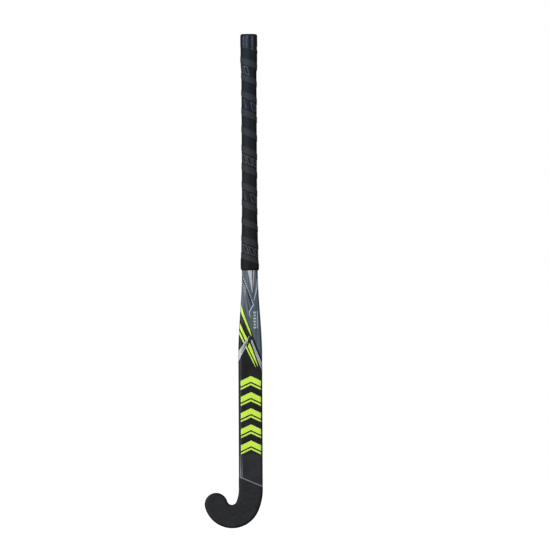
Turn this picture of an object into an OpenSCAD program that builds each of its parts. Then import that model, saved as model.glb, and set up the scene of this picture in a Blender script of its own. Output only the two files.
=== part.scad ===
// Field hockey stick, composite, right-handed, hook head.
// Lengths are in millimetres. Heights are first measured upwards from the lowest
// point of the heel, and in_frame() then puts the origin in the middle of the
// parallel stretch of the grip. The flat playing side looks along -Y and the toe
// points along -X.

/* [Stick] */
// Length from the heel to the butt end
stick_l = 927; // [840:1:1130]
// Deepest bow of the playing side, under a straight edge
bow_depth = 20; // [5:1:25]

/* [Blade and head] */
// Width of the blade and of the stem of the head
blade_w = 44.8; // [37:0.2:54]
// Width of the head where the toe starts to round
toe_w = 43; // [35:0.2:52]
// Thickness of the blade half-way down the stick
blade_t = 21; // [17:0.5:25]
// Thickness of the head
head_t = 24; // [20:0.5:29]
// Centreline radius of the hook
hook_r = 31; // [25:0.5:38]
// Centreline radius of the heel, where the stem leans into the hook
heel_r = 80; // [60:1:100]
// Turn of the heel arc, in degrees
heel_turn = 24; // [12:1:30]
// Whole turn from the stem to the toe, in degrees
hook_turn = 164; // [140:1:175]
// Width of the rounded edge beside the flat face
edge_w = 6; // [4:0.5:8]
// Depth of the rounded edge beside the flat face
edge_t = 7; // [5:0.5:9]

/* [Laminate] */
// Wall of the laminate
wall = 2.6; // [1.8:0.1:3.4]
// Diameter of the bare handle
handle_d = 25.6; // [22:0.2:31]
// Diameter of the bare handle at the butt
flare_d = 28.2; // [26:0.2:34]
// Half-width of the shaft where it leaves the grip
neck_half_w = 14.8; // [13.6:0.1:18]

/* [Grip] */
// Length covered by the cap and the grip
grip_l = 444; // [370:1:535]
// Thickness of the adhesive cushion under the tape
underlay_t = 0.5; // [0.3:0.1:1]
// Thickness of the grip tape
tape_t = 1.4; // [0.8:0.1:2.2]
// Height of the finishing band
band_h = 24; // [15:1:35]
// Thickness of the finishing band
band_t = 0.7; // [0.4:0.1:1.5]

/* [Butt cap] */
// Height of the cap's skirt and crown
cap_h = 24; // [16:1:32]
// Thickness of the crown
crown_t = 4; // [3:0.5:6]
// Radius of the rounded rim
rim_r = 4; // [1:0.5:4.5]
// Length of the stem below the crown
stem_l = 30; // [20:1:45]
// Wall of the hollow stem
stem_wall = 2.2; // [1.5:0.1:3.5]

/* [Inside] */
// Wall of the moulding bladder that stays in the handle
bladder_t = 0.4; // [0.2:0.1:1]
// Length of the foam plug under the cap's stem
plug_l = 40; // [20:1:60]
// Length of the tongue that joins the two foam cores
tongue_l = 30; // [15:1:45]
// Width of the tongue
tongue_w = 18; // [10:1:24]
// Thickness of the tongue
tongue_t = 7; // [4:0.5:9]

/* [Films] */
// Thickness of the printed films
film_t = 0.1; // [0.05:0.01:0.2]
// Thickness of the gritty skin on the face of the head
skin_t = 0.4; // [0.2:0.1:0.8]

/* [Hidden] */
$fn = 96;

bond = 0.05;                 // glue line between bonded solids
ease = 0.03;                 // step where a loft meets a round bar, so that they never just touch
half_n = 16;                 // segments in half of a section
flat_v = 5 / 16;             // share of a half section that is the flat face
back_power = 0.9;            // fullness of the rounded back
seat = 0.1;                  // the cavity is this much wider than the bore, all round
gap = 0.3;                   // between the tape and the cap's skirt
line_w = 2.4;                // width of the line that borders the head
wrap_t = edge_t - 0.7;       // how far films and skin wrap the rounded edges
toe_steps = [12, 24, 36, 48, 58, 67, 75, 82];

handle_r = handle_d / 2;
flare_r = flare_d / 2;
half_w = blade_w / 2;
bore_r = handle_r - wall;
grip_t = underlay_t + tape_t;
cap_r = flare_r + grip_t;

// Heights above the heel
shell_top = stick_l - crown_t;
skirt_z = stick_l - cap_h;
flare_z = skirt_z - 28;              // the butt starts to narrow
parallel_top = flare_z - 25;         // the handle is parallel below this
grip_z = stick_l - grip_l;           // lower end of the grip
parallel_z = grip_z + 130;           // the handle is parallel above this
round_z = grip_z + 62;               // the section is round above this
blade_z = grip_z - 84;               // the section is a full D below this
wide_z = grip_z - 160;               // the blade has its full width below this
hold_z = (parallel_top + parallel_z) / 2;
stem_end = shell_top - stem_l;       // lower end of the cap's stem
plug_z = stem_end - plug_l;
tape_z = grip_z + 4;                 // the band reaches this far past the tape
core_top = round_z - 8;

// The stem runs straight down to stem_z, so that the lowest point of the heel is at 0
hook_half_w = (half_w + toe_w / 2) / 2;
stem_z = hook_r + hook_half_w + (heel_r - hook_r) * sin(heel_turn);
flat_z = stem_z + 20;                // the head is flat below this
core_z = stem_z + 45;                // the head core meets the shaft core here
bow_z = grip_z - 12;                 // the handle is straight above this
bow_at = flat_z + 0.55 * (bow_z - flat_z);

// Slopes of the bow that make it bow_depth deep between the heel and the butt
upper_slope = bow_depth / (stick_l - (bow_z + bow_at) / 2);
lower_slope = bow_depth / ((bow_at + flat_z) / 2);

// The line that borders the head falls from the toe side to the heel side
line_z = stem_z + 13;
function line_at(x) = line_z - 0.42 * x;
toe_reach = half_w + 2 * (heel_r * (1 - cos(heel_turn)) + hook_r * cos(heel_turn)) + toe_w;

function smooth(t) = let (c = min(1, max(0, t))) c * c * (3 - 2 * c);
function mix(a, b, t) = a + (b - a) * t;

// How far the section at height z is set off along Y by the bow
function bow_y(z) =
    let (a = bow_z - bow_at, b = bow_at - flat_z)
    z >= bow_z ? 0 :
    z >= bow_at ? -upper_slope * pow(bow_z - z, 2) / (2 * a) :
    let (at_peak = -upper_slope * a / 2, d = bow_at - max(z, flat_z))
    at_peak - upper_slope * d - lower_slope * d * d / (2 * b)
    - (z < flat_z ? (upper_slope + lower_slope) * (flat_z - z) : 0);

// Half-width of the bare shaft, its round radius, its share of D and its thickness
function shaft_half_w(z) =
    z > parallel_top ? mix(handle_r, flare_r, smooth((z - parallel_top) / (flare_z - parallel_top))) :
    z > grip_z ? mix(handle_r, neck_half_w, smooth((parallel_z - z) / (parallel_z - grip_z))) :
    mix(neck_half_w, half_w, smooth((grip_z - z) / (grip_z - wide_z)));
function round_r(z) = z > parallel_top ? shaft_half_w(z) : handle_r;
function d_share(z) = smooth((round_z - z) / (round_z - blade_z));
function shaft_t(z) = mix(blade_t, head_t, smooth((bow_at - z) / (bow_at - stem_z)));

// Half of the D section, v from 0 at the middle of the face to 1 at the middle of the back
function d_point(v, w, t, e, f) =
    v < flat_v ? [(w - e) * v / flat_v, 0] :
    v < 0.5 ? let (p = 90 * (v - flat_v) / (0.5 - flat_v)) [w - e + e * sin(p), f - f * cos(p)] :
    let (p = 180 * (v - 0.5))
    [w * pow(max(0, cos(p)), back_power), f + (t - f) * pow(sin(p), back_power)];

// Point of the shaft's section at height z. v runs from -1 to 1 and inset is inwards
function shaft_point(v, z, inset) =
    let (a = abs(v), k = d_share(z), w = shaft_half_w(z) - inset, r = round_r(z) - inset,
         d = d_point(a, w, shaft_t(z) - 2 * inset, edge_w - inset * 0.6, edge_t - inset),
         x = mix(w * sin(180 * a), d[0], k))
    [v < 0 ? -x : x, mix(-r * cos(180 * a), d[1] - handle_r + inset, k) + bow_y(z), z];

// The centreline below the stem: [x, z, heading from straight down, half-width]
heel_end = [-heel_r * (1 - cos(heel_turn)), stem_z - heel_r * sin(heel_turn)];
hook_centre = heel_end + [-hook_r * cos(heel_turn), hook_r * sin(heel_turn)];
heel_arc = heel_r * heel_turn;
hook_arc = hook_r * (hook_turn - heel_turn);
function head_half_w(h) =
    let (s = h < heel_turn ? heel_r * h : heel_arc + hook_r * (h - heel_turn))
    mix(half_w, toe_w / 2, smooth(s / (heel_arc + hook_arc)));
function head_station(h) =
    let (c = h < heel_turn ?
            [-heel_r * (1 - cos(h)), stem_z - heel_r * sin(h)] :
            hook_centre + hook_r * [cos(h), -sin(h)])
    [c[0], c[1], h, head_half_w(h)];

// Point at side a across the head and d past the station along the centreline
function head_place(st, a, d, y) =
    let (x = st[0] + a * cos(st[2]) - d * sin(st[2]), z = st[1] - a * sin(st[2]) - d * cos(st[2]))
    [x, y - handle_r + bow_y(z), z];
function head_point(v, st, inset) =
    let (d = d_point(abs(v), st[3] - inset, head_t - 2 * inset, edge_w - inset * 0.6, edge_t - inset))
    head_place(st, (v < 0 ? -1 : 1) * d[0], 0, d[1] + inset);

// The toe is half of the section turned about its own middle: depth at radius q
function toe_face(q, w, e, f) = q < w - e ? 0 : f - f * sqrt(max(0, 1 - pow((q - w + e) / e, 2)));
function toe_back(q, w, t, f) =
    f + (t - f) * pow(max(0, 1 - pow(min(1, q / w), 2 / back_power)), back_power / 2);
function toe_point(v, st, turn, inset) =
    let (w = st[3] - inset, e = edge_w - inset * 0.6, f = edge_t - inset, t = head_t - 2 * inset,
         a = cos(turn) * d_point(abs(v), w, t, e, f)[0], d = w * sin(turn),
         q = min(w, norm([a, d])))
    head_place(st, v < 0 ? -a : a, d,
        (abs(v) < 0.5 ? toe_face(q, w, e, f) : toe_back(q, w, t, f)) + inset);

ring_v = [for (i = [1 - half_n : half_n]) i / half_n];
function shaft_ring(z, inset) = [for (v = ring_v) shaft_point(v, z, inset)];
function head_ring(h, inset) = [for (v = ring_v) head_point(v, head_station(h), inset)];
function toe_ring(turn, inset) =
    [for (v = ring_v) toe_point(v, head_station(hook_turn), turn, inset)];

// Heights from z_top down to z_end, about step apart
function heights(z_top, z_end, step) =
    let (n = max(1, ceil((z_top - z_end) / step))) [for (i = [0 : n]) mix(z_top, z_end, i / n)];

// Every loft on the shaft uses the same stations, so that nested solids keep the same facets
stations = heights(parallel_z, stem_z, 18);
pitch = (parallel_z - stem_z) / (len(stations) - 1);
function ring_between(z, inset) =
    let (at = (parallel_z - z) / pitch, i = min(len(stations) - 2, max(0, floor(at))),
         in = inset + (z > parallel_z - 0.5 ? ease : 0),
         upper = shaft_ring(stations[i], in), lower = shaft_ring(stations[i + 1], in))
    [for (j = [0 : len(upper) - 1]) mix(upper[j], lower[j], at - i)];
function shaft_rings(z_top, z_end, inset) =
    [for (z = concat([z_top], [for (z = stations) if (z < z_top - 0.5 && z > z_end + 0.5) z], [z_end]))
        ring_between(z, inset)];
function hook_rings(inset) = concat(
    [for (h = [heel_turn / 4 : heel_turn / 4 : heel_turn]) head_ring(h, inset)],
    [for (i = [1 : 14]) head_ring(mix(heel_turn, hook_turn, i / 14), inset)],
    [for (turn = toe_steps) toe_ring(turn, inset)]);

// A closed solid through the rings, which run from the top of the stick to the toe
module loft(rings) {
    n = len(rings[0]);
    last = len(rings) - 1;
    polyhedron(
        [for (ring = rings) each ring],
        concat(
            [[for (i = [n - 1 : -1 : 0]) i]],
            [[for (i = [0 : n - 1]) last * n + i]],
            [for (j = [0 : last - 1], i = [0 : n - 1])
                each let (a = j * n + i, b = j * n + (i + 1) % n)
                [[a, b, a + n], [b, b + n, a + n]]]),
        convexity = 8);
}

// Puts a solid that is placed by its height above the heel into the stick's frame
module in_frame() { translate([0, 0, -hold_z]) children(); }

// Round bar on the handle's axis between two heights
module bar(r, z0, z1) { translate([0, 0, z0]) cylinder(r = r, h = z1 - z0); }

// The handle above the end of the loft, grown by grow, up to z_top
module handle_bar(grow, z_top) {
    flare = [for (z = heights(parallel_top, flare_z, 5)) [shaft_half_w(z) + grow, z]];
    rotate_extrude() polygon(concat(
        [[0, parallel_z], [handle_r + grow, parallel_z]],
        flare,
        [[flare_r + grow, z_top], [0, z_top]]));
}

// The wrapped handle from z_end up to z_top, grown by grow
module wrapped_bar(grow, z_end, z_top) {
    loft(shaft_rings(parallel_z, z_end, -grow));
    handle_bar(grow, z_top);
}

// Everything in front of a surface that lies depth behind the flat face
module front(z_top, z_end, depth) {
    translate([-toe_reach, 0, 0]) rotate([90, 0, 90]) linear_extrude(toe_reach + blade_w)
        polygon(concat(
            [[-200, z_end], [-200, z_top]],
            [for (z = heights(z_top, z_end, 30)) [bow_y(z) - handle_r + depth, z]]));
}

// The outline that the children draw in X and Z, as deep as the stick
module outline() { translate([0, 100, 0]) rotate([90, 0, 0]) linear_extrude(250) children(); }

// A film of thickness t on the front of the laminate, lift above it, cut to the outline that
// the children draw. It wraps the rounded edges.
module film(t, lift, z_top, z_end) {
    intersection() {
        difference() {
            loft(shaft_rings(z_top, z_end, -lift - t));
            loft(shaft_rings(z_top + 1, z_end - 1, -lift));
        }
        front(z_top + 2, z_end - 2, wrap_t);
        outline() children();
    }
}

// The artwork is drawn downwards from the grip and is stretched with the blade
art_x = half_w / 22.4;
art_z = (grip_z - stem_z) / 410;
function art_at(u) = grip_z + u * art_z;
module artwork() { translate([0, grip_z]) scale([art_x, art_z]) children(); }

// A slanting stripe from a to b, w0 wide at a and w1 wide at b, measured along X
module stripe(a, b, w0, w1) {
    polygon([[a[0] - w0 / 2, a[1]], [a[0] + w0 / 2, a[1]], [b[0] + w1 / 2, b[1]], [b[0] - w1 / 2, b[1]]]);
}

// The moulded carbon and glass laminate, one piece from the toe to the butt
module laminate_shell() {
    color("#242528") difference() {
        union() {
            loft(concat(shaft_rings(parallel_z, stem_z, 0), hook_rings(0)));
            handle_bar(0, shell_top);
        }
        loft(concat(shaft_rings(round_z, stem_z, wall - seat), hook_rings(wall - seat)));
        bar(bore_r, round_z - 1, shell_top + 1);
    }
}

// The cores meet in a flat tongue and socket half-way between the face and the back
module tongue(grow) {
    z0 = core_z - tongue_l - grow;
    z1 = core_z + 1;
    half = tongue_t / 2 + grow;
    y0 = bow_y(z0) - handle_r + head_t / 2;
    y1 = bow_y(z1) - handle_r + head_t / 2;
    translate([-tongue_w / 2 - grow, 0, 0]) rotate([90, 0, 90]) linear_extrude(tongue_w + 2 * grow)
        polygon([[y0 - half, z0], [y0 + half, z0], [y1 + half, z1], [y1 - half, z1]]);
}

// Dense foam that fills the hook and the stem of the head
module head_core() {
    color("#d8c9a0") difference() {
        loft(concat(shaft_rings(core_z, stem_z, wall + bond), hook_rings(wall + bond)));
        tongue(bond);
    }
}

// Light foam that fills the blade up to the round handle
module shaft_core() {
    color("#ece3c6") union() {
        loft(shaft_rings(core_top, core_z + bond, wall + bond));
        tongue(0);
    }
}

// The moulding bladder, which stays bonded inside the hollow handle
module bladder_tube() {
    color("#9fb4c0") difference() {
        bar(bore_r - bond, round_z, plug_z - bond);
        bar(bore_r - bond - bladder_t, round_z - 1, plug_z);
    }
}

// Foam plug that closes the handle under the cap's stem
module handle_plug() {
    color("#e4dcc8") bar(bore_r - bond, plug_z, stem_end - bond);
}

// Moulded cap: crown and skirt outside the laminate, hollow stem inside its bore
module butt_cap() {
    color("#17181a") difference() {
        union() {
            bar(cap_r, skirt_z, stick_l - rim_r);
            bar(cap_r - rim_r, skirt_z, stick_l);
            translate([0, 0, stick_l - rim_r]) rotate_extrude() translate([cap_r - rim_r, 0]) circle(rim_r);
            bar(bore_r - bond, stem_end, shell_top + 1);
        }
        difference() {
            bar(flare_r + bond, skirt_z - 1, shell_top + bond);
            bar(bore_r - bond, skirt_z - 2, shell_top + 1);
        }
        bar(bore_r - bond - stem_wall, stem_end - 1, shell_top);
    }
}

// Adhesive cushion wound directly on the laminate
module grip_underlay() {
    color("#3b3d40") difference() {
        wrapped_bar(underlay_t, tape_z, skirt_z - gap);
        loft(shaft_rings(parallel_z, tape_z - 1, -bond));
        handle_bar(bond, stick_l);
    }
}

// The grip tape around the cushion, up to the cap's skirt
module grip_tape() {
    color("#2b2e32") difference() {
        wrapped_bar(grip_t, tape_z, skirt_z - gap);
        loft(shaft_rings(parallel_z, tape_z - 1, -underlay_t - bond));
        handle_bar(underlay_t + bond, stick_l);
    }
}

// Stretched tape over the lower end of the grip and a little of the bare shaft
module finishing_band() {
    color("#1b1c1e") difference() {
        loft(shaft_rings(grip_z + band_h, grip_z, -grip_t - band_t));
        loft(shaft_rings(grip_z + band_h + 1, tape_z - bond, -grip_t - bond));
        loft(shaft_rings(tape_z + 1, grip_z - 1, -bond));
    }
}

// Gritty skin on the playing face and the rounded edges of the head
module face_skin() {
    color("#3a3c40") intersection() {
        difference() {
            loft(concat(shaft_rings(line_z + 20, stem_z, -bond - skin_t), hook_rings(-bond - skin_t)));
            loft(concat(shaft_rings(line_z + 21, stem_z, -bond), hook_rings(-bond)));
        }
        front(line_z + 30, -10, wrap_t);
        outline() polygon([[-toe_reach, -10], [blade_w, -10],
            [blade_w, line_at(blade_w) - line_w], [-toe_reach, line_at(-toe_reach) - line_w]]);
    }
}

// Grey panel below the grip, with a slanting lower edge
module panel_film() {
    color("#525f69") film(film_t, bond, grip_z - 1, art_at(-174)) artwork()
        polygon([[-30, -1], [30, -1], [30, -187.7], [-30, -29.9]]);
}

// Silver wedges and small tick bars printed on the panel
module panel_marks() {
    color("#b3b9c9") film(film_t, film_t + 2 * bond, grip_z - 1.5, art_at(-116)) artwork() {
        polygon([[-4.3, -1.5], [3.9, -1.5], [4.6, -43], [3.8, -43]]);
        polygon([[5.2, -1.5], [7.5, -1.5], [5.8, -30], [5, -30]]);
        for (i = [0 : 5]) translate([5.5, -110 + 6 * i]) square([4.5, 3.6]);
        for (i = [0 : 1]) translate([12.2, -110 + 19 * i]) square([1.8, 15]);
    }
}

// Three yellow-green stripes across the front, interrupted by the silver one
module yellow_stripes() {
    color("#ccff53") film(film_t, bond, art_at(-40), art_at(-186)) artwork() difference() {
        union() {
            stripe([-23.6, -58], [1.6, -122], 4.8, 2.6);
            stripe([-23.8, -93], [-1.2, -143], 4.6, 6);
            stripe([-1.2, -143], [6.6, -162], 6, 4.2);
            stripe([6.6, -162], [14.2, -180], 4.2, 0.8);
            stripe([-24.7, -108], [9.9, -181], 3.8, 1.7);
        }
        offset(delta = 0.8) silver_a();
    }
}

// Two silver stripes, one against the slant of the others
module silver_a() {
    polygon([[-0.8, -122], [-2.4, -121.5], [-25, -156], [-25, -179], [-3.1, -131.8]]);
}
module silver_stripes() {
    color("#b9bdc6") film(film_t, bond, art_at(-118), art_at(-204)) artwork() {
        silver_a();
        stripe([2.8, -131], [16.4, -167.7], 3.9, 6.7);
        stripe([16.4, -167.7], [25, -190.2], 6.7, 7.4);
    }
}

// Five pairs of thick and thin chevrons down the blade
module chevron(z, h) {
    polygon([[-18, z], [0.8, z + 9], [19.6, z], [19.6, z + h], [0.8, z + h + 9], [-18, z + h]]);
}
module chevron_films() {
    color("#ccff53") film(film_t, bond, art_at(-190), art_at(-352)) artwork()
        for (i = [0 : 4]) translate([0, -345 + 30.2 * i]) {
            chevron(0, 3.4);
            chevron(6.4, 10.6);
        }
}

// Grey line that borders the head, with two bars that run up the blade
module head_line() {
    color("#697078") film(film_t, bond, line_z + 60, line_z - 30) {
        polygon([[-blade_w, line_at(-blade_w)], [blade_w, line_at(blade_w)],
            [blade_w, line_at(blade_w) + line_w], [-blade_w, line_at(-blade_w) + line_w]]);
        for (side = [0, 1])
            translate([-half_w + 3 + 4.2 * side, line_at(-half_w) + line_w + 1]) square([1.6, 38]);
    }
}

in_frame() laminate_shell();
in_frame() head_core();
in_frame() shaft_core();
in_frame() bladder_tube();
in_frame() handle_plug();
in_frame() butt_cap();
in_frame() grip_underlay();
in_frame() grip_tape();
in_frame() finishing_band();
in_frame() face_skin();
in_frame() panel_film();
in_frame() panel_marks();
in_frame() yellow_stripes();
in_frame() silver_stripes();
in_frame() chevron_films();
in_frame() head_line();
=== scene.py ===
import math
import bpy
import mathutils
import numpy as np
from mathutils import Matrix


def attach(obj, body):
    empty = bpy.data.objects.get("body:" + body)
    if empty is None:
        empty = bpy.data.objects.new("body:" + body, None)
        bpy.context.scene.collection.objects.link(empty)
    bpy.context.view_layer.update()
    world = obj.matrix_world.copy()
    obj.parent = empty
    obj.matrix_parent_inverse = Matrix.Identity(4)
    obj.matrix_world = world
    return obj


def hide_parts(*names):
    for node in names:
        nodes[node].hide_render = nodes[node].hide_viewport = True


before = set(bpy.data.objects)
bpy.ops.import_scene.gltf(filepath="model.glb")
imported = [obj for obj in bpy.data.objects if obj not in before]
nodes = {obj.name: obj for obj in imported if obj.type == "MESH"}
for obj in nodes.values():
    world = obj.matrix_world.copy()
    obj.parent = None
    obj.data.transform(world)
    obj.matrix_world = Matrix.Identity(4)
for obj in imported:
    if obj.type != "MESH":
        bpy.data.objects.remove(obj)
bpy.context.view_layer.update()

# --- Laminate -------------------------------------------------------------------------
# The stick itself: carbon and glass cloth moulded in one piece from the butt to the toe,
# hollow in the handle, lacquered black. Everything else is fixed to it.
# Lengths are in millimetres, heights count from the lowest point of the heel.
STICK_L, GRIP_L, CAP_H, CROWN_T = 927.0, 444.0, 24.0, 4.0
BLADE_W, TOE_W, BLADE_T, HEAD_T = 44.8, 43.0, 21.0, 24.0
HOOK_R, HEEL_R, HEEL_TURN, HOOK_TURN = 31.0, 80.0, math.radians(24), math.radians(164)
EDGE_W, EDGE_T, BACK_POWER, FLAT_V = 6.0, 7.0, 0.9, 5 / 16
HANDLE_R, FLARE_R, NECK_HALF_W, BOW = 12.8, 14.1, 14.8, 20.0
# The blade reaches its full width WIDENING below the grip. The section turns from round to D
# over SQUARING, starting ROUND_UP above the grip's lower end. From SHADE_FROM_Z up the lacquer's
# colour is darkened to SHADE_FACTOR of itself: painted shade for light falling off up the blade.
WIDENING, ROUND_UP, SQUARING = 160, 62, 146
SHADE_FROM_Z, SHADE_RUN, SHADE_FACTOR = 137, 3, 0.45
HALF_W = BLADE_W / 2
GRIP_Z = STICK_L - GRIP_L
SKIRT_Z = STICK_L - CAP_H
FLARE_Z = SKIRT_Z - 28
PARALLEL_TOP, PARALLEL_Z = FLARE_Z - 25, GRIP_Z + 130
HOLD_Z = (PARALLEL_TOP + PARALLEL_Z) / 2
STEM_Z = HOOK_R + (HALF_W + TOE_W / 2) / 2 + (HEEL_R - HOOK_R) * math.sin(HEEL_TURN)
FLAT_Z, BOW_Z = STEM_Z + 20, GRIP_Z - 12
BOW_AT = FLAT_Z + 0.55 * (BOW_Z - FLAT_Z)
UPPER_SLOPE = BOW / (STICK_L - (BOW_Z + BOW_AT) / 2)
LOWER_SLOPE = BOW / ((BOW_AT + FLAT_Z) / 2)


def smooth(t):
    """3t^2 - 2t^3, held at 0 and 1 outside."""
    c = np.clip(t, 0, 1)
    return c * c * (3 - 2 * c)


def mix(a, b, t):
    """From a at t = 0 to b at t = 1."""
    return a + (b - a) * t


def bow_y(z):
    """Offset of the section along Y: straight handle, two parabolas, straight head."""
    z = np.asarray(z, float)
    upper, lower = BOW_Z - BOW_AT, BOW_AT - FLAT_Z
    high = -UPPER_SLOPE * np.clip(BOW_Z - z, 0, None) ** 2 / (2 * upper)
    d = BOW_AT - np.maximum(z, FLAT_Z)
    low = -UPPER_SLOPE * upper / 2 - UPPER_SLOPE * d - LOWER_SLOPE * d * d / (2 * lower)
    low = low - (UPPER_SLOPE + LOWER_SLOPE) * np.clip(FLAT_Z - z, 0, None)
    return np.where(z >= BOW_AT, high, low)


def half_width(z):
    """Half-width of the bare stick at height z: flared butt, parallel handle, wide blade."""
    flare = mix(HANDLE_R, FLARE_R, smooth((z - PARALLEL_TOP) / (FLARE_Z - PARALLEL_TOP)))
    neck = mix(HANDLE_R, NECK_HALF_W, smooth((PARALLEL_Z - z) / (PARALLEL_Z - GRIP_Z)))
    blade = mix(NECK_HALF_W, HALF_W, smooth((GRIP_Z - z) / WIDENING))
    return np.where(z > PARALLEL_TOP, flare, np.where(z > GRIP_Z, neck, blade))


def d_section(v, w, t, grow):
    """Half D, v from 0 at mid-face to 1 at mid-back: flat, elliptic corner, fuller ellipse."""
    w, t, e, f = w + grow, t + 2 * grow, EDGE_W + 0.6 * grow, EDGE_T + grow
    p = np.clip((v - FLAT_V) / (0.5 - FLAT_V), 0, 1) * np.pi / 2
    b = np.clip(v - 0.5, 0, 0.5) * np.pi
    x_face = np.where(v < FLAT_V, (w - e) * v / FLAT_V, w - e + e * np.sin(p))
    x = np.where(v < 0.5, x_face, w * np.cos(b).clip(0) ** BACK_POWER)
    y = np.where(v < 0.5, f - f * np.cos(p), f + (t - f) * np.sin(b).clip(0) ** BACK_POWER)
    return x, y - grow


def shaft(v, z, grow=0.0):
    """Point of the shaft: v from -1 to 1 round the section, z the height. The section turns
    from a circle into a D below the grip; grow moves it outwards."""
    v, z = np.broadcast_arrays(np.asarray(v, float), np.asarray(z, float))
    a, w = np.abs(v), half_width(z)
    r = np.where(z > PARALLEL_TOP, w, HANDLE_R) + grow
    k = smooth((GRIP_Z + ROUND_UP - z) / SQUARING)
    x, y = d_section(a, w, mix(BLADE_T, HEAD_T, smooth((BOW_AT - z) / (BOW_AT - STEM_Z))), grow)
    x = mix((w + grow) * np.sin(np.pi * a), x, k)
    y = mix(-r * np.cos(np.pi * a), y - HANDLE_R, k) + bow_y(z)
    return np.stack([np.where(v < 0, -x, x), y, z], -1)


def hook(v, h, grow=0.0):
    """Point of the hook: v round the section, h the turn of the centreline from straight
    down, first on the heel's arc, then on the hook's."""
    v, h = np.broadcast_arrays(np.asarray(v, float), np.asarray(h, float))
    heel = np.array([-HEEL_R * (1 - math.cos(HEEL_TURN)), STEM_Z - HEEL_R * math.sin(HEEL_TURN)])
    mid = heel + HOOK_R * np.array([-math.cos(HEEL_TURN), math.sin(HEEL_TURN)])
    first = h < HEEL_TURN
    cx = np.where(first, -HEEL_R * (1 - np.cos(h)), mid[0] + HOOK_R * np.cos(h))
    cz = np.where(first, STEM_Z - HEEL_R * np.sin(h), mid[1] - HOOK_R * np.sin(h))
    run = np.where(first, HEEL_R * h, HEEL_R * HEEL_TURN + HOOK_R * (h - HEEL_TURN))
    whole = HEEL_R * HEEL_TURN + HOOK_R * (HOOK_TURN - HEEL_TURN)
    w = mix(HALF_W, TOE_W / 2, smooth(run / whole))
    x, y = d_section(np.abs(v), w, HEAD_T, grow)
    x = np.where(v < 0, -x, x)
    z = cz - x * np.sin(h)
    return np.stack([cx + x * np.cos(h), y - HANDLE_R + bow_y(z), z], -1)


def toe(v, turn, grow=0.0):
    """Point of the toe: the last section turned about its middle, so that its depth depends
    only on the distance from there. turn runs from 0 at the hook to a quarter turn."""
    v, turn = np.broadcast_arrays(np.asarray(v, float), np.asarray(turn, float))
    base = hook(0.0, HOOK_TURN)
    w, e, f, t = TOE_W / 2 + grow, EDGE_W + 0.6 * grow, EDGE_T + grow, HEAD_T + 2 * grow
    across = np.cos(turn) * d_section(np.abs(v), TOE_W / 2, HEAD_T, grow)[0]
    out = w * np.sin(turn)
    q = np.minimum(w, np.hypot(across, out))
    face = f - f * np.sqrt((1 - (np.clip(q - w + e, 0, None) / e) ** 2).clip(0))
    back = f + (t - f) * (1 - (q / w) ** (2 / BACK_POWER)).clip(0) ** (BACK_POWER / 2)
    across = np.where(v < 0, -across, across)
    x = base[0] + across * math.cos(HOOK_TURN) - out * math.sin(HOOK_TURN)
    z = base[2] - across * math.sin(HOOK_TURN) - out * math.cos(HOOK_TURN)
    y = np.where(np.abs(v) < 0.5, face, back) - grow - HANDLE_R + bow_y(z)
    return np.stack([x, y, z], -1)


def put(name, points, faces, crease=35):
    """A mesh piece at the origin from points in stick millimetres, on the stick's body."""
    mesh = bpy.data.meshes.new(name)
    mesh.from_pydata(((points - [0, 0, HOLD_Z]) / 1000).tolist(), [], faces)
    mesh.shade_smooth()
    mesh.set_sharp_from_angle(angle=math.radians(crease))
    piece = bpy.data.objects.new(name, mesh)
    bpy.context.scene.collection.objects.link(piece)
    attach(piece, "root")
    return piece


def quads(rows, cols, wrap_cols=False, wrap_rows=False):
    """Corner numbers of the quads between rows of points, wrapped round where asked."""
    i, j = np.meshgrid(np.arange(rows if wrap_rows else rows - 1),
                       np.arange(cols if wrap_cols else cols - 1), indexing="ij")
    below, right = (i + 1) % rows, (j + 1) % cols
    corners = [i * cols + j, below * cols + j, below * cols + right, i * cols + right]
    return np.stack(corners, -1).reshape(-1, 4)


def copies(faces, count, size):
    """The same faces on count blocks of size points each."""
    blocks = faces[None] + size * np.arange(count)[:, None, None]
    return blocks.reshape(-1, faces.shape[1]).tolist()


def tube(name, rings, top, end, crease=35):
    """A closed skin through rings (rows, round, 3) that run down the stick, with a pole at
    each end."""
    rows, cols = rings.shape[:2]
    points = np.concatenate([rings.reshape(-1, 3), [top, end]])
    j = np.arange(cols)
    nxt = (j + 1) % cols
    last = (rows - 1) * cols
    fans = np.stack([np.full(cols, rows * cols), j, nxt], -1).tolist()
    fans += np.stack([np.full(cols, rows * cols + 1), last + nxt, last + j], -1).tolist()
    return put(name, points, quads(rows, cols, True).tolist() + fans, crease)


def principled(name, color, rough, **sockets):
    """A Principled material with its tree and its shader. sockets gives further values by
    socket name, with _ for each space."""
    mat = bpy.data.materials.new(name)
    mat.use_nodes = True
    tree = mat.node_tree
    shader = tree.nodes["Principled BSDF"]
    shader.inputs["Base Color"].default_value = (*srgb(color), 1)
    shader.inputs["Roughness"].default_value = rough
    for key, value in sockets.items():
        shader.inputs[key.replace("_", " ")].default_value = value
    return mat, tree, shader


def srgb(code):
    """Linear colour of a hex code."""
    c = np.array([int(code[i:i + 2], 16) / 255 for i in (1, 3, 5)])
    return np.where(c < 0.04045, c / 12.92, ((c + 0.055) / 1.055) ** 2.4)


def add(tree, kind, inputs=(), **settings):
    """A shader node: settings are its properties, inputs its sockets' values or links."""
    node = tree.nodes.new(kind)
    for key, value in settings.items():
        setattr(node, key, value)
    for key, value in dict(inputs).items():
        if isinstance(value, bpy.types.NodeSocket):
            tree.links.new(value, node.inputs[key])
        else:
            node.inputs[key].default_value = value
    return node


def ramp(tree, source, stops):
    """A colour ramp on source with (place, hex colour) stops."""
    node = add(tree, "ShaderNodeValToRGB", {"Fac": source})
    while len(node.color_ramp.elements) < len(stops):
        node.color_ramp.elements.new(1)
    for element, (place, code) in zip(node.color_ramp.elements, stops):
        element.position = place
        element.color = (*srgb(code), 1)
    return node.outputs["Color"]


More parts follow.
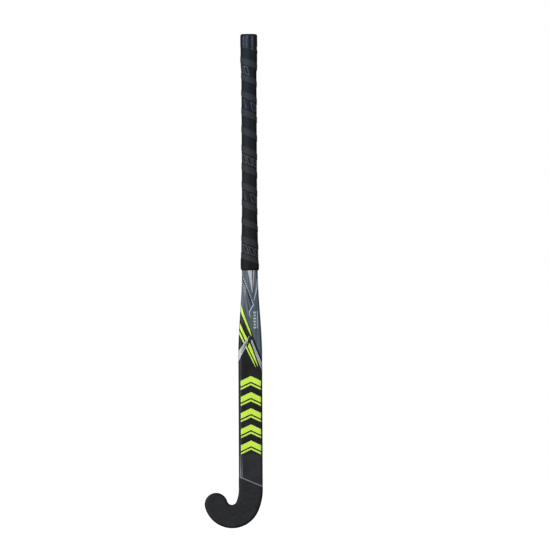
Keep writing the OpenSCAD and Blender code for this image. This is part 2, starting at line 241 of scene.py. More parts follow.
def grain_group():
    """Fine surface grain: a coarse value round 0.5 and a normal bumped by a second noise, ten
    times finer. Scale counts fine grains per metre."""
    group = bpy.data.node_groups.new("surface_grain", "ShaderNodeTree")
    sockets = group.interface
    for label, value in (("Scale", 900.0), ("Depth", 0.1)):
        sockets.new_socket(label, in_out="INPUT", socket_type="NodeSocketFloat").default_value = value
    sockets.new_socket("Coarse", in_out="OUTPUT", socket_type="NodeSocketFloat")
    sockets.new_socket("Normal", in_out="OUTPUT", socket_type="NodeSocketVector")
    give = group.nodes.new("NodeGroupInput").outputs
    take = group.nodes.new("NodeGroupOutput").inputs
    place = add(group, "ShaderNodeTexCoord").outputs["Object"]
    fine = add(group, "ShaderNodeTexNoise", {"Vector": place, "Scale": give["Scale"], "Detail": 3.0})
    tenth = add(group, "ShaderNodeMath", {0: give["Scale"], 1: 0.1}, operation="MULTIPLY")
    coarse = add(group, "ShaderNodeTexNoise", {
        "Vector": place, "Scale": tenth.outputs[0], "Detail": 4.0})
    bump = add(group, "ShaderNodeBump", {
        "Strength": give["Depth"], "Distance": 0.0004, "Height": fine.outputs["Fac"]})
    group.links.new(coarse.outputs["Fac"], take["Coarse"])
    group.links.new(bump.outputs["Normal"], take["Normal"])
    return group


GRAIN = grain_group()


def grained(name, stops, rough, scale=900.0, depth=0.1, rough_span=0.1, **sockets):
    """A material whose colour runs over stops with the coarse grain, and whose roughness
    varies with it by rough_span either way."""
    mat, tree, shader = principled(name, stops[0][1], rough, **sockets)
    grain = add(tree, "ShaderNodeGroup", node_tree=GRAIN)
    grain.inputs["Scale"].default_value = scale
    grain.inputs["Depth"].default_value = depth
    tree.links.new(ramp(tree, grain.outputs["Coarse"], stops), shader.inputs["Base Color"])
    spread = add(tree, "ShaderNodeMapRange", {
        "Value": grain.outputs["Coarse"], "From Min": 0.3, "From Max": 0.7,
        "To Min": rough - rough_span, "To Max": rough + rough_span})
    tree.links.new(spread.outputs["Result"], shader.inputs["Roughness"])
    tree.links.new(grain.outputs["Normal"], shader.inputs["Normal"])
    return mat


def part_of_height(tree, low, high, **spread):
    """Share of the way up from height low to height high in stick millimetres, 0 to 1 or as
    To Min and To Max in spread say."""
    place = add(tree, "ShaderNodeTexCoord").outputs["Object"]
    height = add(tree, "ShaderNodeSeparateXYZ", {"Vector": place}).outputs["Z"]
    span = {key.replace("_", " "): value for key, value in spread.items()}
    return add(tree, "ShaderNodeMapRange", {
        "Value": height, "From Min": (low - HOLD_Z) / 1000, "From Max": (high - HOLD_Z) / 1000,
        **span}).outputs["Result"]


def finish(piece, mat, slot, *stands_for):
    """Gives a piece its material and hides the CAD nodes it stands for; slot is not used."""
    piece.data.materials.append(mat)
    if stands_for:
        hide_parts(*stands_for)
    return piece


around = np.linspace(-1, 1, 144, endpoint=False)
shaft_z = np.concatenate([
    np.linspace(STICK_L - CROWN_T, PARALLEL_Z, 40), np.linspace(PARALLEL_Z - 4, STEM_Z, 130)])
hook_h = np.concatenate([
    np.linspace(0, HEEL_TURN, 9)[1:], np.linspace(HEEL_TURN, HOOK_TURN, 57)[1:]])
toe_turn = np.linspace(0, np.pi / 2, 25)[1:-1]
rings = np.concatenate([
    shaft(around[None], shaft_z[:, None]), hook(around[None], hook_h[:, None]),
    toe(around[None], toe_turn[:, None])])
laminate = tube("laminate", rings, [0, 0, STICK_L - CROWN_T], toe(0.0, np.pi / 2))
lacquer = grained("black_lacquer", [(0.3, "#232428"), (0.7, "#2a2b2f")], 0.46, scale=500.0,
                  depth=0.04, Specular_IOR_Level=0.25)
tree = lacquer.node_tree
lacquer_color = tree.nodes["Principled BSDF"].inputs["Base Color"]
# Painted shade: the lacquer's colour is scaled down from SHADE_FROM_Z up.
shade_mask = part_of_height(tree, SHADE_FROM_Z, SHADE_FROM_Z + SHADE_RUN, To_Min=1.0, To_Max=SHADE_FACTOR)
painted_shade = add(tree, "ShaderNodeVectorMath", {
    0: lacquer_color.links[0].from_socket, "Scale": shade_mask}, operation="SCALE")
tree.links.new(painted_shade.outputs["Vector"], lacquer_color)
finish(laminate, lacquer, "laminate", "laminate_shell")

# --- Head skin ------------------------------------------------------------------------
# A gritty skin on the flat playing side of the head, which grips the ball. It is moulded
# onto the laminate and runs round its edges; its upper edge is cut on a slant.
LINE_Z, LINE_W, LINE_SLOPE = STEM_Z + 13, 2.4, 0.42
SKIN_T, SKIN_ROOT, SKIN_SIDE, GRIT_H = 0.42, -0.3, 0.47, 0.05


def line_at(x):
    """Height of the slanting border of the head at x."""
    return LINE_Z - LINE_SLOPE * x


def grit(points):
    """Small unevenness of the skin, in millimetres: a sum of crossed waves."""
    x, z = points[..., 0], points[..., 2]
    across = np.sin(5.1 * x + 1.7 * np.sin(2.3 * z))
    return GRIT_H * across * np.sin(4.7 * z + 1.9 * np.sin(2.9 * x))


def thin_solid(name, outer, inner):
    """A closed solid between an outer and an inner grid of points (rows, cols, 3), or one
    for each of a stack of grids. Rows run down the stick, columns from left to right."""
    rows, cols = outer.shape[-3:-1]
    n = rows * cols
    number = np.arange(n).reshape(rows, cols)
    rim = np.concatenate([
        number[:, 0], number[-1, 1:], number[::-1, -1][1:], number[0, ::-1][1:-1]])
    nxt = np.roll(rim, -1)
    sides = np.stack([rim, rim + n, nxt + n, nxt], -1)
    front = quads(rows, cols)
    faces = np.concatenate([front, front[:, ::-1] + n, sides])
    points = np.stack([outer.reshape(-1, n, 3), inner.reshape(-1, n, 3)], 1)
    return put(name, points.reshape(-1, 3), copies(faces, len(points), 2 * n))


def head_skin(lift):
    """The skin lifted off the laminate: stem rows below the slanting line, hook and toe."""
    v = np.linspace(-SKIN_SIDE, SKIN_SIDE, 96)
    x = shaft(v, STEM_Z)[:, 0]
    t = np.linspace(0, 1, 14)[:, None]
    stem = shaft(v[None], mix(line_at(x)[None] - 0.4, STEM_Z, t), lift)
    end = toe(v[None], np.linspace(0, np.pi / 2 - 0.02, 30)[1:, None], lift)
    return np.concatenate([stem, hook(v[None], hook_h[:, None], lift), end])


outer = head_skin(SKIN_T)
outer[..., 1] -= grit(outer)
skin = thin_solid("head_skin", outer, head_skin(SKIN_ROOT))
skin_mat = grained("head_grit", [(0.32, "#1e1f22"), (0.5, "#252629"), (0.68, "#2d2e32")], 0.7,
                   scale=1400.0, depth=0.5, Specular_IOR_Level=0.2)
finish(skin, skin_mat, "head_grit", "face_skin")

# --- Head line ------------------------------------------------------------------------
# Printed grey line that borders the head, with two thin bars that run up the blade beside
# the edge on the toe side. All the printed films are transfers under the last lacquer.
# Films sink FILM_ROOT into the laminate and have a row of faces about every ROW_H.
FILM_ROOT, EDGE_STEP, ROW_H = -0.12, 110, 1.6
BAR_TOP, BAR_FOOT = 138, 97.5


def lay(x, z, lift):
    """Point on the shaft seen at x from the front at height z, lifted off the surface. Past
    the edge, x goes on by the length along the back. The half section is sampled in EDGE_STEP
    steps to the edge and as many on to the middle of the back."""
    x, z = np.broadcast_arrays(np.asarray(x, float), np.asarray(z, float))
    level = z.reshape(-1, 1)
    v = np.linspace(0, 1, 2 * EDGE_STEP + 1)
    curve = shaft(v[None], level)[..., :2]
    step = np.hypot(*np.moveaxis(np.diff(curve, axis=1), -1, 0))
    reach = curve[..., 0].copy()
    reach[:, EDGE_STEP + 1:] = reach[:, [EDGE_STEP]] + np.cumsum(step[:, EDGE_STEP:], 1)
    walk = np.abs(x).reshape(-1, 1)
    i = np.clip((reach <= walk).sum(1) - 1, 0, 2 * EDGE_STEP - 1)
    row = np.arange(len(i))
    t = ((walk[:, 0] - reach[row, i]) / (reach[row, i + 1] - reach[row, i]))[:, None]
    spot = mix(curve[row, i], curve[row, i + 1], t)
    way = curve[row, np.minimum(i + 2, 2 * EDGE_STEP)] - curve[row, np.maximum(i - 1, 0)]
    out = np.stack([way[:, 1], -way[:, 0]], -1) / np.hypot(way[:, 0], way[:, 1])[:, None]
    spot = spot + lift * out
    side = np.where(x.reshape(-1) < 0, -1, 1)
    return np.stack([spot[:, 0] * side, spot[:, 1], level[:, 0]], -1).reshape(*x.shape, 3)


def film(name, x, z, lift):
    """A printed film over a grid of places: x across the front and z up the stick."""
    return thin_solid(name, lay(x, z, lift), lay(x, z, FILM_ROOT))


def strip(name, places, widths, lift, cut=0.0):
    """A stripe down through places (x, z), widths wide across the front. cut lifts the
    right-hand corner of its lower end by that much over its width."""
    places = np.array(places, float)
    rows = max(8, int(np.ptp(places[:, 1]) / ROW_H))
    z = np.linspace(places[0, 1], places[-1, 1], rows)[:, None]
    mid = np.interp(-z, -places[:, 1], places[:, 0])
    wide = np.interp(-z, -places[:, 1], widths)
    t = np.linspace(-0.5, 0.5, 7)[None]
    end = smooth((z[0] - z) / np.ptp(z) * 8 - 7)
    return film(name, mid + t * wide, z + t * cut * end, lift)


def ink(name, dark, light, scale=900.0, depth=0.04, rough=0.4):
    """A print whose colour wanders between a darker and a lighter tone."""
    return grained(name, [(0.3, dark), (0.7, light)], rough, scale, depth)


line_mat = ink("grey_line_print", "#68707a", "#7b838c", 700.0, 0.05, 0.45)
x = np.linspace(-20.2, 26, 80)[None]
z = line_at(x) + LINE_W * np.linspace(1, 0, 4)[:, None]
finish(film("head_line_print", x, z, 0.12), line_mat, "line_print", "head_line")
# The bars fade with height from grey into the black.
bar_mat, tree, shader = principled("fading_bar_print", "#70767e", 0.42)
fade = ramp(tree, part_of_height(tree, 98, BAR_TOP), [(0.0, "#70767e"), (1.0, "#26272b")])
tree.links.new(fade, shader.inputs["Base Color"])
for i, (x0, wide) in enumerate(((-19.3, 2.0), (-15.9, 1.3))):
    places = [(x0, BAR_TOP - 1.5 * i), (x0 + 0.4, BAR_FOOT - 1.8 * i)]
    bar = strip(f"edge_bar_{i}", places, [0.75 * wide, wide], 0.1)
    finish(bar, bar_mat, "line_print")

# --- Grey panel -----------------------------------------------------------------------
# Printed grey panel below the grip, streaked along the slant of its lower edge. It runs
# right round the shaft, lowest on the right-hand side.
PANEL_Z, PANEL_SLOPE, PANEL_LEFT_X = 374.2, 2.63, 17.6


def panel_edge(v):
    """Height of the panel's lower edge: one slant across the front, found in a few rounds as
    the width depends on the height, and back up on the back."""
    z = np.full_like(v, 370.0)
    for _ in range(4):
        z = PANEL_Z - PANEL_SLOPE * shaft(v, z)[..., 0]
    right, left = PANEL_Z - PANEL_SLOPE * HALF_W, PANEL_Z + PANEL_SLOPE * PANEL_LEFT_X
    back = mix(right, left, np.where(v > 0, v - 0.5, v + 1.5))
    return np.where(np.abs(v) <= 0.5, z, back)


def panel_surface(lift):
    """The panel: v round the section, rows from under the band down to the slanting edge."""
    v = np.linspace(-1, 1, 161)
    z = mix(GRIP_Z + 1, panel_edge(v)[None], np.linspace(0, 1, 70)[:, None])
    return shaft(v[None], z, lift)


panel = thin_solid("grey_panel", panel_surface(0.08), panel_surface(FILM_ROOT))
panel_mat, tree, shader = principled("streaked_grey_print", "#525f69", 0.42, Specular_IOR_Level=0.3)
place = add(tree, "ShaderNodeTexCoord").outputs["Object"]
slant = add(tree, "ShaderNodeMapping", {
    "Vector": place, "Rotation": (0, math.radians(-14), 0), "Scale": (260.0, 60.0, 7.0)})
streak = add(tree, "ShaderNodeTexNoise", {
    "Vector": slant.outputs["Vector"], "Scale": 1.0, "Detail": 3.0})
tone = ramp(tree, streak.outputs["Fac"], [
    (0.3, "#434f58"), (0.5, "#525f69"), (0.62, "#5d6a75"), (0.72, "#737f89")])
tree.links.new(tone, shader.inputs["Base Color"])
finish(panel, panel_mat, "grey_print", "panel_film")

# --- Silver print ---------------------------------------------------------------------
# Silver wedges under the grip, fine light lines, small bars on the panel and the two silver
# stripes that meet on the front: one comes up from the left edge, and the hatched one goes
# down to the right. They are transfers like the panel, laid on top of it.
WEDGE_TIP_X, WEDGE_TIP_Z, WEDGE_SLOPE = -1.7, 360.8, 1.454
LABEL_X, LABEL_Z, LABEL_PITCH = 8.6, 375.6, 5.7
SMALL_X, SMALL_Z, SMALL_PITCH = 13.8, 375.2, 2.35
silver = ink("silver_print", "#bbbec1", "#cbced0", 1500.0, 0.05)
pale = ink("pale_line_print", "#c0c8cf", "#cfd6dc")
light_streak = ink("light_streak_print", "#626d77", "#6c7781", 400.0)
pale_streak = ink("pale_streak_print", "#727d86", "#7e8891", 400.0)
dark_streak = ink("dark_streak_print", "#323b43", "#3c464f", 400.0)
black_line = ink("black_line_print", "#1b1d20", "#24262a", 400.0)
label_grey = ink("label_grey_print", "#aab3bb", "#bcc4cb")
faint_grey = ink("faint_grey_print", "#3c3c45", "#494953")
# Each line has a name, its places down the stick, its widths there, its lift and its ink.
panel_lines = [
    ("wedge_wide", [(-0.3, 486), (4.4, 441)], [8.5, 0.7], 0.16, silver),
    ("wedge_gap", [(5.1, 486), (5.3, 450)], [2.2, 0.7], 0.17, black_line),
    ("wedge_narrow", [(7.3, 486), (6.0, 452)], [2.3, 0.7], 0.18, silver),
    ("swoosh_left", [(-12.6, 463), (-9.8, 445), (-7.9, 424), (-4.6, 404), (-2.6, 396)],
     [2.2, 4.2, 4.4, 2.8, 0.5], 0.11, light_streak),
    ("swoosh_mid", [(-7.6, 435), (-2.9, 416), (-1.8, 408)], [0.8, 1.9, 2.6], 0.13, dark_streak),
    ("black_slant", [(-14.3, 470), (-9.5, 456), (-4.3, 443), (1.6, 425), (4.6, 416.5)],
     [2.2, 2.8, 3.0, 3.8, 2.2], 0.14, black_line),
    ("pale_corner", [(3.3, 427.5), (6.5, 418)], [1.3, 1.5], 0.18, pale),
    ("pale_back", [(6.6, 419), (-1.4, 405)], [2.0, 1.9], 0.17, pale),
    ("pale_tail", [(-1.5, 406), (-0.8, 400.8), (1.0, 394.5)], [1.5, 1.1, 0.5], 0.18, pale),
    ("streak_right", [(14.2, 468), (13.6, 457), (11.9, 445), (9.2, 434), (7.2, 425)],
     [2.4, 3.2, 2.8, 1.8, 0.6], 0.15, pale_streak),
    ("streak_right_core", [(14.2, 467), (13.0, 451), (10.5, 439), (7.7, 427)],
     [1.6, 1.4, 1.4, 0.8], 0.17, pale),
]
for name, places, widths, lift, mat in panel_lines:
    stands_for = ["panel_marks"] if name == "wedge_wide" else []
    finish(strip(name, places, widths, lift), mat, "silver_print", *stands_for)


def dashes(name, mids, width, height, slant, lift):
    """Small slanting dashes at mids (n, 2): each is width across the front and height up the
    stick, and slant moves its right end up."""
    t = np.linspace(-0.5, 0.5, 5)[None, None]
    s = np.linspace(0.5, -0.5, 3)[None, :, None]
    mids = np.asarray(mids, float)[:, :, None, None]
    width, height = np.reshape(width, (-1, 1, 1)), np.reshape(height, (-1, 1, 1))
    x = mids[:, 0] + width * t + 0 * s
    z = mids[:, 1] + height * s + slant * t
    return film(name, x, z, lift)


def along(places, z0, z1, pitch):
    """Points on the line through places from height z0 down to z1, pitch apart in height."""
    places = np.array(places, float)
    z = np.arange(z0, z1, -pitch)
    return np.stack([np.interp(-z, -places[:, 1], places[:, 0]), z], -1)


dots = along([(-12.1, 468), (-9.5, 463), (-2.1, 443), (5.2, 422)], 467.0, 424.0, 4.3)
finish(dashes("dotted_line", dots, 1.5, 2.0, -0.5, 0.18), pale, "silver_print")
bar_widths = [5.0, 3.6, 5.0, 5.2, 4.0, 5.2]
bar_mids = [(LABEL_X, LABEL_Z + LABEL_PITCH * i) for i in range(len(bar_widths))]
finish(dashes("label_bars", bar_mids, bar_widths, 3.3, 0, 0.17), label_grey, "silver_print")
small_mids = [(SMALL_X, SMALL_Z + SMALL_PITCH * i) for i in range(14)]
finish(dashes("label_small_bars", small_mids, 2.0, 1.5, 0, 0.17), label_grey, "silver_print")


def back_wedge(lift):
    """The silver wedge between its upper and lower edges, from its tip to the left edge."""
    x = np.linspace(-1.5, -29, 60)[:, None]
    upper = WEDGE_TIP_Z + (x - WEDGE_TIP_X) * WEDGE_SLOPE
    lower = np.interp(-x, [1.5, 3.4, 5.2, 6.6, 7.4, 9.9, 13.9, 17.5, 21, 29],
                      [360.3, 356.2, 352.5, 346.5, 340, 336.2, 328.8, 321.3, 313.8, 297])
    t = np.linspace(0, 1, 9)[None]
    return lay((x + 0 * t).T[:, ::-1], mix(upper, lower, t).T[:, ::-1], lift)


stripe_back = thin_solid("silver_stripe_back", back_wedge(0.2), back_wedge(FILM_ROOT))
finish(stripe_back, silver, "silver_print", "silver_stripes")
fore = [(2.5, 352.5), (3.8, 347.4), (9.5, 332.5), (12.4, 324.7), (16.2, 315.3), (29, 284)]
stripe_fore = strip("silver_stripe_fore", fore, [2.2, 3.3, 4.1, 4.7, 5.2, 6.2], 0.14)
finish(stripe_fore, silver, "silver_print")
margin = strip("black_margin", [(0.0, 361.0), (-1.7, 355), (-3.6, 348), (-5.2, 341)],
               [2.0, 3.4, 4.0, 3.0], 0.17)
finish(margin, black_line, "silver_print")
hatch = along(fore, 344.5, 294.0, 4.3)
finish(dashes("silver_hatch_fore", hatch, 2.4, 1.3, -3.6, 0.19), dark_streak, "silver_print")
groove_places = [(-6.0, 349.5), (-8.7, 343.7), (-10.6, 340), (-12.5, 336.2), (-16.6, 328.4)]
groove = strip("silver_groove", groove_places, [1.2, 2.0, 2.0, 1.4, 0.6], 0.24)
finish(groove, black_line, "silver_print")

# --- Yellow stripes -------------------------------------------------------------------
# Three bright yellow-green stripes that come round the left edge and run down to the right,
# under the silver one that crosses them, with a faint hatch on the black between them.
yellow = ink("yellow_print", "#d2ff46", "#deff5a", 800.0, rough=0.42)
# Each stripe has a name, its places down the stick, its widths there and the cut of its end.
yellow_runs = [
    ("stripe_top", [(-24.2, 433.4), (-12.0, 396.4), (-3.1, 373.9), (1.6, 360.8)],
     [4.8, 4.4, 3.2, 2.1], -2.5),
    ("stripe_wide", [(-27, 396.4), (-15.0, 369.8), (-1.2, 340), (6.8, 321), (14.2, 303)],
     [4.4, 4.7, 5.9, 3.9, 0.7], 0.0),
    ("stripe_low", [(-27, 381), (-16.8, 358.9), (-6.2, 336), (3.6, 315.6), (9.8, 302)],
     [3.1, 3.2, 2.8, 2.4, 1.7], -2.5),
]
for n, (name, places, widths, cut) in enumerate(yellow_runs):
    piece = strip(name, places, widths, 0.14, cut)
    finish(piece, yellow, "yellow_print", *(["yellow_stripes"] if n == 0 else []))
rows = [along([(-19.5 + right, 396), (-6.0 + right, 364)], 398.0 - 2.4 * right, 364.0, 2.3)
        for right in (0.4, 3.0, 5.6)]
finish(dashes("faint_hatch", np.concatenate(rows), 1.7, 0.9, -1.0, 0.1), faint_grey, "silver_print")

# --- Chevrons -------------------------------------------------------------------------
# Five pairs of a thin and a thick chevron that point up the blade, one above the other. They
# are transfers in the same bright print as the stripes.
CHEVRON_Z, CHEVRON_PITCH, CHEVRON_X = 138, 30.2, 0.8
CHEVRON_HALF_W, CHEVRON_RISE = 18.8, 9
THIN_H, THICK_H, THICK_UP = 3.4, 10.6, 6.4


def chevron(name, z, h):
    """A band h high whose ends are at height z, and which rises to its point in the middle."""
    x = np.linspace(-CHEVRON_HALF_W, CHEVRON_HALF_W, 61)[None]
    foot = z + CHEVRON_RISE * (1 - np.abs(x) / CHEVRON_HALF_W)
    return film(name, x + CHEVRON_X, foot + h * np.linspace(1, 0, 8)[:, None], 0.13)


for i in range(5):
    z0 = CHEVRON_Z + CHEVRON_PITCH * i
    thin = chevron(f"chevron_thin_{i}", z0, THIN_H)
    finish(thin, yellow, "yellow_print", *(["chevron_films"] if i == 0 else []))
    finish(chevron(f"chevron_thick_{i}", z0 + THICK_UP, THICK_H), yellow, "yellow_print")

# --- Cores and other inner pieces -----------------------------------------------------
# Foam cores, the moulding bladder, the plug under the cap's stem and the cushion under the
# tape. All are hidden; they keep the CAD solids.
foam = grained("dense_foam", [(0.35, "#cdbb8c"), (0.65, "#e0d2a8")], 0.9, scale=2500.0, depth=0.6)
light_foam = grained("light_foam", [(0.35, "#e4dabb"), (0.65, "#f2ead2")], 0.9, scale=1800.0, depth=0.6)
bladder = grained("bladder_film", [(0.35, "#8fa5b2"), (0.65, "#a9bdc8")], 0.4, scale=300.0, depth=0.1)
cushion = grained("cushion_foam", [(0.35, "#323437"), (0.65, "#404347")], 0.9, scale=3000.0, depth=0.5)
for node, mat in (("head_core", foam), ("shaft_core", light_foam), ("bladder_tube", bladder),
                  ("handle_plug", light_foam), ("grip_underlay", cushion)):
    nodes[node].data.materials.clear()
    nodes[node].data.materials.append(mat)

# --- Grip tape ------------------------------------------------------------------------
# One cushioned tape wound round the handle in overlapping turns. Each turn lies on the one
# below it, so its lower edge shows as a step; the doubled part is lighter. The dark line just
# under the step is painted shadow.
# Turns aren't quite even, so TURN_EDGES holds the height of each turn's lower edge at the front.
GRIP_T, DOUBLED = 1.9, 0.385
TAPE_SUNK, TAPE_STEP, GROOVE = 0.35, 0.6, 0.22
TOP_SLANT, ROW_HALF_H, ROW_LEAN, ROW_PITCH, RING_STEPS = 3.2, 6.6, 0.3, 11.3, 48
TURN_EDGES = np.array([
    930.5, 898.4, 866.3, 835.7, 803.2, 769.1, 734, 699.4, 664.8, 630.7, 597.1, 563.5, 530.4, 498.4,
    466.3])


def wrap_phase(phi, z):
    """Place across the tape's turn: the doubled part is from 0 to DOUBLED, and its lower edge
    meets the front at TURN_EDGES. phi runs from the front towards the right."""
    turns = np.interp(-z, -TURN_EDGES, np.arange(len(TURN_EDGES)))
    return (turns - phi / (2 * np.pi) + DOUBLED) % 1


def wrap_lift(p):
    """Height of the wound tape: smooth rise into the doubled part, sharp step at its edge."""
    rise = smooth(p / 0.12) * (1 - smooth((p - DOUBLED) / 0.014))
    groove = np.exp(-((p - DOUBLED - 0.022) / 0.016) ** 2)
    return -TAPE_SUNK + TAPE_STEP * rise - GROOVE * groove


def grip_point(phi, z, lift=0.0):
    """Point on the grip: phi from the front towards the right, z the height."""
    flat = shaft(phi / np.pi, z, GRIP_T)
    out = np.stack([np.sin(phi), -np.cos(phi), 0 * phi], -1)
    return flat + out * (wrap_lift(wrap_phase(phi, z)) + lift)[..., None]


turns = np.linspace(-np.pi, np.pi, 180, endpoint=False)[None]
top_edge = SKIRT_Z - 0.5 - TOP_SLANT * (1 + np.sin(turns))
grip_z = mix(top_edge, GRIP_Z + 3, np.linspace(0, 1, 500)[:, None])
tape = tube("grip_tape_wound", grip_point(turns + 0 * grip_z, grip_z), [0, 0, SKIRT_Z - 4],
            [0, 0, GRIP_Z + 3], crease=60)
wrap = tape.data.attributes.new("wrap", "FLOAT", "POINT")
phase = wrap_phase(turns, grip_z).reshape(-1)
wrap.data.foreach_set("value", np.concatenate([phase, [0, 0]]))
tape_mat, tree, shader = principled("wound_tape", "#16181b", 0.62, Specular_IOR_Level=0.2)
grain = add(tree, "ShaderNodeGroup", node_tree=GRAIN)
grain.inputs["Scale"].default_value = 1600.0
grain.inputs["Depth"].default_value = 0.45
across = add(tree, "ShaderNodeAttribute", attribute_name="wrap").outputs["Fac"]
# Painted shadow: the near-black stop just past DOUBLED darkens the tape under the step's edge.
tone = ramp(tree, across, [(0.0, "#1a1c20"), (0.03, "#2f3134"), (0.375, "#2f3134"),
                           (0.39, "#0b0c0e"), (0.43, "#16181b"), (1.0, "#16181b")])
tree.links.new(tone, shader.inputs["Base Color"])
tree.links.new(grain.outputs["Normal"], shader.inputs["Normal"])
finish(tape, tape_mat, "tape", "grip_tape")


def tape_place(turn, along_tape, across):
    """Angle and height of a place on the tape: millimetres along it from the front of a turn,
    and across it, upwards from the middle of the part that isn't doubled."""
    phi = along_tape / (HANDLE_R + GRIP_T)
    at = turn + (1 - DOUBLED) / 2 + phi / (2 * np.pi)
    return phi, np.interp(at, np.arange(len(TURN_EDGES)), TURN_EDGES) + across


def embossed(name, turn, places, half_w, line):
    """Raised outlines on one turn, their middles at places along it: each is a slanting
    four-cornered ring, walked by the angle u and the four corners of its line."""
    u = np.linspace(0, 2 * np.pi, RING_STEPS, endpoint=False)[None, :, None]
    half = line / 2 * np.array([1, 1, -1, -1])[None, None]
    lift = np.array([-0.5, 0.16, 0.16, -0.5])[None, None]
    square = np.maximum(np.abs(np.cos(u)), np.abs(np.sin(u)))
    x, y = (half_w + half) * np.cos(u) / square, (ROW_HALF_H + half) * np.sin(u) / square
    start = np.asarray(places, float)[:, None, None]
    phi, z = tape_place(turn, start + x - ROW_LEAN * y, y)
    points = grip_point(phi, z, lift)
    faces = quads(RING_STEPS, 4, True, True)[:, ::-1]
    return put(name, points.reshape(-1, 3), copies(faces, len(start), RING_STEPS * 4), 60)


emboss_mat = grained("embossed_outline", [(0.3, "#4b4f54"), (0.7, "#5a5e63")], 0.5, scale=1500.0,
                     depth=0.2, Specular_IOR_Level=0.3)
pill_mat = grained("embossed_pill", [(0.3, "#34373b"), (0.7, "#404347")], 0.5, scale=1500.0,
                   depth=0.2, Specular_IOR_Level=0.2)
for n, (turn, first) in enumerate(((2, -50.0), (4, 8.7), (7, -33.6), (9, 7.2), (12, -30.0))):
    row = embossed(f"embossed_row_{n}", turn, first + ROW_PITCH * np.arange(5), 3.6, 1.1)
    finish(row, emboss_mat, "tape")
    finish(embossed(f"embossed_pill_{n}", turn, [first - 17.0], 1.3, 1.7), pill_mat, "tape")

# --- Finishing band -------------------------------------------------------------------
# Stretched black tape that holds down the lower end of the grip and sticks to the bare
# shaft; its lower edge is rounded over the end of the grip.
BAND_T, BAND_H, BAND_SLANT, BAND_ROUND = 0.7, 17.5, 5.5, 2.4


def band_rings(t):
    """Rings from the slanting upper edge down: full thickness, then a rounded end."""
    z = mix(GRIP_Z + BAND_H - BAND_SLANT * np.sin(np.pi * around[None]), GRIP_Z, t[:, None])
    end = np.clip((t - 0.7) / 0.3, 0, 1)
    grow = GRIP_T + BAND_T - BAND_ROUND * (1 - np.sqrt((1 - end ** 2).clip(0)))
    return shaft(around[None], z, grow[:, None])


way_down = np.concatenate([np.linspace(0, 0.68, 24), 1 - 0.3 * np.linspace(1, 0, 24) ** 2])
band = tube("finishing_band_wrap", band_rings(way_down), [0, 0, GRIP_Z + BAND_H], [0, 0, GRIP_Z],
            crease=50)
band_mat = grained("stretched_band", [(0.35, "#111214"), (0.65, "#18191b")], 0.6, scale=700.0,
                   depth=0.25, Specular_IOR_Level=0.15)
finish(band, band_mat, "band", "finishing_band")

# --- Butt cap -------------------------------------------------------------------------
# Glossy moulded cap over the butt: its crown and skirt are outside the laminate, and its stem
# is pressed into the hollow handle. The skirt ends where the tape begins.
CAP_R, RIM_R, LIP, TUCKED = FLARE_R + GRIP_T, 4.0, 0.5, 9
corner = np.linspace(0, np.pi / 2, 14)
profile = np.concatenate([
    np.stack([np.linspace(0.4, CAP_R - RIM_R, 8)[:-1], np.full(7, STICK_L)], -1),
    np.stack([CAP_R - RIM_R + RIM_R * np.sin(corner), STICK_L - RIM_R + RIM_R * np.cos(corner)], -1),
    np.stack([np.full(20, CAP_R), np.linspace(STICK_L - RIM_R - 1, SKIRT_Z, 20)], -1),
    [(CAP_R - LIP, SKIRT_Z - 0.4), (CAP_R - LIP, SKIRT_Z - TUCKED)]])
phi = np.linspace(-np.pi, np.pi, 144, endpoint=False)
cap_rings = np.stack([
    profile[:, :1] * np.sin(phi), -profile[:, :1] * np.cos(phi), profile[:, 1:] + 0 * phi], -1)
cap = tube("butt_cap_moulded", cap_rings, [0, 0, STICK_L], [0, 0, SKIRT_Z - TUCKED], crease=50)
cap_mat = grained("glossy_cap", [(0.35, "#12161b"), (0.65, "#191d23")], 0.33, scale=60.0, depth=0.05,
                  rough_span=0.05, Specular_IOR_Level=0.32)
finish(cap, cap_mat, "cap", "butt_cap")

# --- Studio ---------------------------------------------------------------------------
# White surround that only the camera sees, a dim one for the stick, a plain pale floor just
# under the heel, large soft lights on the left and right and a small cool one near the butt.
SURROUND_GLOW, FLOOR_GLOW = 0.1, 0.93
FLOOR_HALF, FLOOR_DROP = 3000.0, 2.0
world = bpy.data.worlds.new("surround")
bpy.context.scene.world = world
world.use_nodes = True
tree = world.node_tree
bright = tree.nodes["Background"]
bright.inputs["Color"].default_value = (1, 1, 1, 1)
bright.inputs["Strength"].default_value = 1.0
dim = add(tree, "ShaderNodeBackground", {"Color": (1, 1, 1, 1), "Strength": SURROUND_GLOW})
seen = add(tree, "ShaderNodeLightPath").outputs["Is Camera Ray"]
choose = add(tree, "ShaderNodeMixShader", {0: seen, 1: dim.outputs[0], 2: bright.outputs[0]})
tree.links.new(choose.outputs[0], tree.nodes["World Output"].inputs["Surface"])

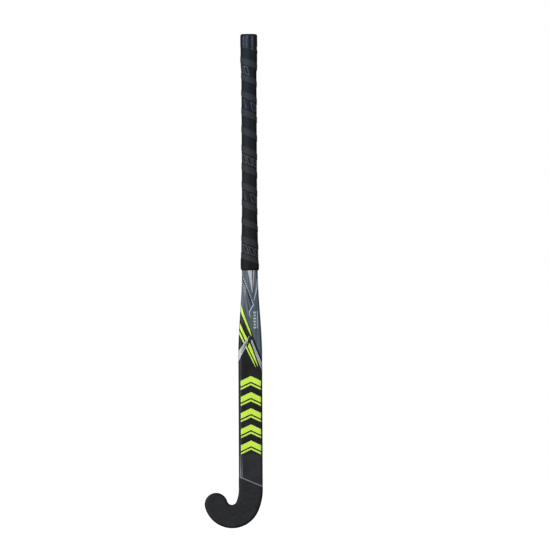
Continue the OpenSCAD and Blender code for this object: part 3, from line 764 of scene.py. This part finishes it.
corners = np.array([[-1, -1], [1, -1], [1, 1], [-1, 1]]) * FLOOR_HALF
floor = put("pale_floor", np.pad(corners, ((0, 0), (0, 1)), constant_values=-FLOOR_DROP), [(0, 1, 2, 3)])
floor_mat, tree, shader = principled("pale_floor_paint", "#e8e8e8", 0.9)
shader.inputs["Emission Color"].default_value = (1, 1, 1, 1)
shader.inputs["Emission Strength"].default_value = FLOOR_GLOW
floor.data.materials.append(floor_mat)
floor.visible_diffuse = floor.visible_glossy = floor.visible_shadow = False


def softbox(name, place, target, size, power, color=(1, 1, 1)):
    """A flat rectangular light at place, turned towards target."""
    lamp = bpy.data.lights.new(name, "AREA")
    lamp.shape = "RECTANGLE"
    lamp.size, lamp.size_y = size
    lamp.energy = power
    lamp.color = color
    light = bpy.data.objects.new(name, lamp)
    bpy.context.scene.collection.objects.link(light)
    way = mathutils.Vector(np.subtract(target, place))
    light.location = place
    light.rotation_euler = way.to_track_quat("-Z", "Y").to_euler()


softbox("left_softbox", (-2.2, -0.55, -0.1), (0, 0, -0.3), (0.7, 1.8), 18)
softbox("front_left", (-1.2, -1.9, -0.5), (0, 0, -0.5), (0.8, 1.4), 31)
softbox("right_fill", (1.7, -1.5, 0.2), (0, 0, -0.3), (0.8, 1.4), 14)
softbox("cool_top", (-0.08, -0.28, 0.3), (0, 0, 0.14), (0.12, 0.12), 0.75, (0.22, 0.56, 1.0))

# The camera looks level and square at the stick, from far off, with a slight roll.
LENS, SENSOR_W, FRAME_W, ROLL = 500, 36, 1.0323, math.radians(0.28)
camera_data = bpy.data.cameras.new("camera")
camera_data.lens, camera_data.sensor_width = LENS, SENSOR_W
camera = bpy.data.objects.new("camera", camera_data)
bpy.context.scene.collection.objects.link(camera)
aim = (0.0472, -0.0128, -0.2574)
camera.location = (aim[0], aim[1] - FRAME_W * LENS / SENSOR_W, aim[2])
camera.rotation_euler = (math.pi / 2, ROLL, 0)
bpy.context.scene.camera = camera
bpy.context.scene.view_settings.view_transform = "Standard"
